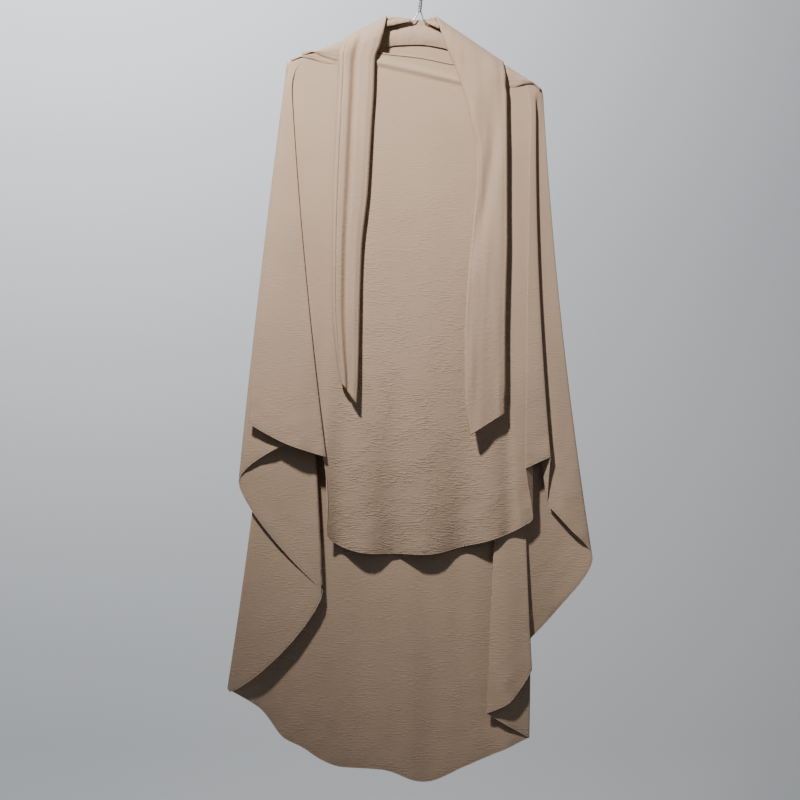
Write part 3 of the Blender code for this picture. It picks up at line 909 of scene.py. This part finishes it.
def hanger_route():
    """The wire from the hook's tip, down the neck, round the frame and up the neck again."""
    hook_centre = HANG_HEIGHT - HOOK_RADIUS
    middle = HOOK_RADIUS + WIRE_DIAMETER / 2
    route = []
    for step in range(HOOK_STEPS + 1):
        angle = HOOK_TIP_ANGLE * (1 - step / HOOK_STEPS)
        route.append((middle * cos(angle), hook_centre + middle * sin(angle), 0.0))
    stem_drop = hook_centre - NECK_LENGTH
    for step in range(1, STEM_STEPS):
        turn = pi * step / STEM_STEPS
        x = middle * (1 + cos(turn)) / 2 + TWIST_RADIUS * (1 - cos(turn)) / 2
        route.append((x, hook_centre - stem_drop * step / STEM_STEPS, 0.0))
    steps = round(STEPS_PER_TWIST * TWIST_TURNS)
    strand = []
    for step in range(steps + 1):
        angle = 2 * pi * TWIST_TURNS * step / steps
        height = NECK_LENGTH + (SPLIT_HEIGHT - NECK_LENGTH) * step / steps
        strand.append((TWIST_RADIUS * cos(angle), height, TWIST_RADIUS * sin(angle)))
    route += strand
    half = HANGER_WIDTH / 2
    middle_of_bend = -HANGER_DROP - CORNER_RADIUS / 2
    arm = [*NECK_LOOP, (ARM_BEND_REACH, -ARM_BEND_DROP), (half, -HANGER_DROP)]
    arm += [(half + CORNER_RADIUS / 4, middle_of_bend), (half, -HANGER_DROP - CORNER_RADIUS)]
    route += [(-x, z, 0.0) for x, z in arm]
    route += [(x, z, 0.0) for x, z in reversed(arm)]
    route += [(-x, z, -y) for x, z, y in reversed(strand)]
    return route


def wire_point(x, z, y):
    """A point of the wire on the tilted hanger."""
    place = hang(x, z)
    return Vector((place.x, y, place.z))


wire_route = [wire_point(x, z, y) for x, z, y in hanger_route()]
hanger = add_tube("hanger_wire", [wire_route], WIRE_DIAMETER / 2, roundness=HANGER_ROUNDNESS)
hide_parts("hanger")
print("hanger_wire", len(wire_route), "points")

# %% [markdown]
# The crepe is matte and closely crinkled: short wavy ridges run across the cloth, faint at the
# shoulders and strong near the front hem. Stretched noise on the cloth's UV gives them as bump,
# in patches, and a slow noise varies the beige a little, as uneven dye does. The same crinkle
# noise also makes the raised puckers a little paler: painted shade in the crinkles' hollows.
# The ties and the band have the same crepe, pulled smoother.

# %% crepe finish
CREPE_LIGHT = (0.600, 0.445, 0.330, 1.0)
CREPE_DARK = (0.480, 0.350, 0.255, 1.0)
CRINKLE_DEPTH = 0.0006
THREAD_DEPTH = 0.0004


def link(tree, start, output, end, entry):
    """Join a node's output to another node's input."""
    tree.links.new(start.outputs[output], end.inputs[entry])


def new_material(name, roughness):
    """A material with its node tree and its shader."""
    material = bpy.data.materials.new(name)
    material.use_nodes = True
    shader = material.node_tree.nodes["Principled BSDF"]
    shader.inputs["Roughness"].default_value = roughness
    return material, material.node_tree, shader


def stretched_noise(tree, source, across, down, detail, rough):
    """Noise on the cloth's UV, finer along the drop than across it."""
    mapping = tree.nodes.new("ShaderNodeMapping")
    mapping.inputs["Scale"].default_value = (across, down, 1.0)
    link(tree, source, "UV", mapping, "Vector")
    waves = tree.nodes.new("ShaderNodeTexNoise")
    waves.inputs["Scale"].default_value = 1.0
    waves.inputs["Detail"].default_value = detail
    waves.inputs["Roughness"].default_value = rough
    waves.inputs["Distortion"].default_value = 0.25
    link(tree, mapping, "Vector", waves, "Vector")
    return waves


def add_math(tree, operation, first, second, third=None):
    """A math node whose inputs are numbers or (node, output) pairs."""
    node = tree.nodes.new("ShaderNodeMath")
    node.operation = operation
    for index, value in enumerate((first, second, third)):
        if isinstance(value, tuple):
            link(tree, *value, node, index)
        elif value is not None:
            node.inputs[index].default_value = value
    return node, "Value"


def add_range(tree, value, span, result=(0.0, 1.0), kind="LINEAR"):
    """A node that turns one span of a (node, output) value into another span."""
    node = tree.nodes.new("ShaderNodeMapRange")
    node.interpolation_type = kind
    for end, number in zip(("From Min", "From Max", "To Min", "To Max"), (*span, *result)):
        node.inputs[end].default_value = number
    link(tree, *value, node, "Value")
    return node, "Result"


def add_colour_blend(tree, share, start, end, shader):
    """Give the shader a colour a (node, output) share of the way between two."""
    colour_mix = tree.nodes.new("ShaderNodeMix")
    colour_mix.data_type = "RGBA"
    colour_mix.inputs["A"].default_value = start
    colour_mix.inputs["B"].default_value = end
    link(tree, *share, colour_mix, "Factor")
    link(tree, colour_mix, "Result", shader, "Base Color")


def puckers(tree, source, across, down, low, high):
    """Short raised puckers: stretched noise cut off softly between two values."""
    waves = stretched_noise(tree, source, across, down, detail=2.0, rough=0.5)
    return add_range(tree, (waves, "Fac"), (low, high), kind="SMOOTHSTEP")


def make_crepe(name, hem_crinkle):
    """Matte beige crepe, crinkled strongly near the hem or faintly all over."""
    material, tree, shader = new_material(name, roughness=0.88)
    shader.inputs["Specular IOR Level"].default_value = 0.25
    shader.inputs["Sheen Weight"].default_value = 0.12
    shader.inputs["Sheen Roughness"].default_value = 0.5
    uv = tree.nodes.new("ShaderNodeUVMap")
    uv.uv_map = UV_NAME
    broad = stretched_noise(tree, uv, across=6.0, down=9.0, detail=3.0, rough=0.5)
    patches = stretched_noise(tree, uv, across=26.0, down=34.0, detail=2.0, rough=0.6)
    wide = puckers(tree, uv, across=80.0, down=400.0, low=0.42, high=0.66)
    fine = puckers(tree, uv, across=200.0, down=800.0, low=0.35, high=0.70)
    grain = stretched_noise(tree, uv, across=700.0, down=1500.0, detail=2.0, rough=0.6)
    patch = add_range(tree, (patches, "Fac"), (0.36, 0.62), (0.12, 1.0))
    both = add_math(tree, "MULTIPLY_ADD", fine, 0.45, wide)
    crinkle = add_math(tree, "MULTIPLY", both, patch)
    tone = add_math(tree, "MULTIPLY_ADD", (broad, "Fac"), 0.8, 0.1)
    # the crinkle height also lightens the colour on the raised puckers: painted shade in the
    # hollows, added to the random dye tone
    dye_and_crinkle_shade = add_math(tree, "MULTIPLY_ADD", crinkle, 0.10, tone)
    add_colour_blend(tree, dye_and_crinkle_shade, CREPE_DARK, CREPE_LIGHT, shader)
    near_hem = tree.nodes.new("ShaderNodeAttribute")
    near_hem.attribute_name = "to_hem"
    strengths = (0.22, 1.0) if hem_crinkle else (0.25, 0.45)
    depth = add_range(tree, (near_hem, "Fac"), (0.25, 0.85), strengths)
    folds = tree.nodes.new("ShaderNodeBump")
    folds.inputs["Distance"].default_value = CRINKLE_DEPTH
    link(tree, *crinkle, folds, "Height")
    link(tree, *depth, folds, "Strength")
    threads = tree.nodes.new("ShaderNodeBump")
    threads.inputs["Distance"].default_value = THREAD_DEPTH
    threads.inputs["Strength"].default_value = 0.6
    link(tree, grain, "Fac", threads, "Height")
    link(tree, folds, "Normal", threads, "Normal")
    link(tree, threads, "Normal", shader, "Normal")
    return material


crepe = make_crepe("beige_crepe", hem_crinkle=True)
tie_crepe = make_crepe("beige_tie_crepe", hem_crinkle=False)
for piece in (cape, *tucks):
    piece.data.materials.append(crepe)
for piece in (band, left_tie, right_tie, *neck_rolls):
    piece.data.materials.append(tie_crepe)
print("crepe on", 4 + len(tucks) + len(neck_rolls), "sheets")

# %% [markdown]
# The hem's rolls catch more light than the flat cloth, because the crepe is stretched smooth
# over them. Their slightly paler colour is a painted highlight for that light, speckled with a
# fine grain, and their finish is a little smoother. The stitches of the neckline are a darker
# thread, so dark that they also paint the thin shadow line along the neckline's edge.

# %% hem finish
HEM_PAINTED_HIGHLIGHT = (0.60, 0.49, 0.40, 1.0)
THREAD_AND_SHADE_DARK = (0.055, 0.038, 0.030, 1.0)
THREAD_AND_SHADE_LIGHT = (0.095, 0.070, 0.055, 1.0)


def make_speckled(name, grains, roughness, start, end):
    """A material whose colour varies finely between two. Returns it and its noise."""
    material, tree, shader = new_material(name, roughness)
    place = tree.nodes.new("ShaderNodeTexCoord")
    grain = tree.nodes.new("ShaderNodeTexNoise")
    grain.inputs["Scale"].default_value = grains
    link(tree, place, "Object", grain, "Vector")
    add_colour_blend(tree, (grain, "Fac"), start, end, shader)
    return material, grain


# the hem rolls' paler colour is a painted highlight on the rolled edge
hem_crepe_painted_highlight = make_speckled("hem_crepe_painted_highlight", grains=900.0, roughness=0.8,
                          start=CREPE_LIGHT, end=HEM_PAINTED_HIGHLIGHT)[0]
# the thread is dark enough to be both the stitches' own colour and a painted shadow line along the
# neckline's edge
thread_and_painted_shade = make_speckled("brown_thread_painted_shade", grains=1500.0, roughness=0.7,
                       start=THREAD_AND_SHADE_DARK, end=THREAD_AND_SHADE_LIGHT)[0]
for roll in (cape_hem, chin_hem):
    roll.data.materials.append(hem_crepe_painted_highlight)
chin_stitches_and_shadow_line.data.materials.append(thread_and_painted_shade)
print("hems are", hem_crepe_painted_highlight.name, "and stitches", thread_and_painted_shade.name)

# %% [markdown]
# Drawn steel wire has a dull shine. A fine noise breaks up its roughness and its grey.

# %% wire finish
STEEL_DARK = (0.42, 0.42, 0.43, 1.0)
STEEL_LIGHT = (0.62, 0.62, 0.63, 1.0)
STEEL_ROUGHNESS = (0.25, 0.45)


def make_wire_finish():
    """Dull drawn steel."""
    material, scratches = make_speckled("drawn_wire", grains=400.0, roughness=0.35,
                                        start=STEEL_DARK, end=STEEL_LIGHT)
    tree = material.node_tree
    shader = tree.nodes["Principled BSDF"]
    shader.inputs["Metallic"].default_value = 1.0
    rough = add_range(tree, (scratches, "Fac"), (0.0, 1.0), STEEL_ROUGHNESS)
    link(tree, *rough, shader, "Roughness")
    return material


hanger.data.materials.append(make_wire_finish())
print("the hanger is", hanger.data.materials[0].name)

# %% [markdown]

# %% [markdown]
# The stage is a pale floor that turns up into a pale backdrop far behind the veil. The key is
# a small spot high at the front left with a soft edge to its cone, so the shadows are crisp and
# the light fades towards the hems as in the photograph. A weak panel fills from the right, and
# a third lamp lights only the backdrop.

# %% stage and lights
STAGE_PALE = (0.62, 0.64, 0.66, 1.0)
FLOOR_HEIGHT = -3.2
STAGE_HALF = 6.0
STAGE_HEIGHT = 6.0
STAGE_BEND = 1.2
STAGE_BEND_STEPS = 12
NEARLY = 0.01
KEY_CONE = radians(66)
BACKDROP_DEPTH = 3.4


def make_stage():
    """The floor and the backdrop in one sheet, with a round bend between them."""
    mesh = bmesh.new()
    bmesh.ops.create_grid(mesh, x_segments=2, y_segments=2, size=STAGE_HALF)
    bmesh.ops.translate(mesh, verts=mesh.verts, vec=(0, BACKDROP_DEPTH - STAGE_HALF, FLOOR_HEIGHT))
    back = BACKDROP_DEPTH - NEARLY
    far = [edge for edge in mesh.edges if all(v.co.y > back for v in edge.verts)]
    raised = bmesh.ops.extrude_edge_only(mesh, edges=far)["geom"]
    up = [item for item in raised if isinstance(item, bmesh.types.BMVert)]
    bmesh.ops.translate(mesh, verts=up, vec=(0, 0, STAGE_HEIGHT))
    corner = [edge for edge in mesh.edges if len(edge.link_faces) == 2
              and all(abs(v.co.y - BACKDROP_DEPTH) < NEARLY for v in edge.verts)
              and all(abs(v.co.z - FLOOR_HEIGHT) < NEARLY for v in edge.verts)]
    bmesh.ops.bevel(mesh, geom=corner, offset=STAGE_BEND, segments=STAGE_BEND_STEPS, profile=0.5,
                    affect="EDGES", material=-1)
    bmesh.ops.recalc_face_normals(mesh, faces=mesh.faces)
    data = bpy.data.meshes.new("stage")
    mesh.to_mesh(data)
    mesh.free()
    data.shade_smooth()
    stage = bpy.data.objects.new("stage", data)
    bpy.context.scene.collection.objects.link(stage)
    pale, _, shader = new_material("stage_pale", roughness=0.9)
    shader.inputs["Base Color"].default_value = STAGE_PALE
    data.materials.append(pale)


def add_lamp(name, place, aim, size, power, colour, cone=None):
    """A lamp at a place: a square panel, or a spot whose light fades to the edge of its cone."""
    data = bpy.data.lights.new(name, "SPOT" if cone else "AREA")
    if cone:
        data.shadow_soft_size = size / 2
        data.spot_size = cone
        data.spot_blend = 1.0
    else:
        data.size = size
    data.energy = power
    data.color = colour
    lamp = bpy.data.objects.new(name, data)
    lamp.location = place
    lamp.rotation_euler = (Vector(aim) - Vector(place)).to_track_quat("-Z", "Y").to_euler()
    bpy.context.scene.collection.objects.link(lamp)


def add_sky(colour, strength):
    """An even weak light from all round."""
    world = bpy.data.worlds.new("studio")
    world.use_nodes = True
    background = world.node_tree.nodes["Background"]
    background.inputs["Color"].default_value = colour
    background.inputs["Strength"].default_value = strength
    bpy.context.scene.world = world


make_stage()
add_lamp("key", place=(-0.50, -0.95, 0.50), aim=(0.0, 0.0, -0.34), size=0.13, power=136.0,
         colour=(1.0, 0.945, 0.88), cone=KEY_CONE)
add_lamp("fill", place=(1.6, -2.4, 0.5), aim=(0.0, 0.0, -0.5), size=1.6, power=3.0,
         colour=(0.95, 0.97, 1.0))
add_lamp("backdrop", place=(-1.3, 1.0, 2.1), aim=(-1.0, 3.4, 0.5), size=1.4, power=225.0,
         colour=(0.97, 0.98, 1.0))
add_sky(colour=(0.86, 0.88, 0.90, 1.0), strength=0.07)
print(len(bpy.data.lights), "lamps")
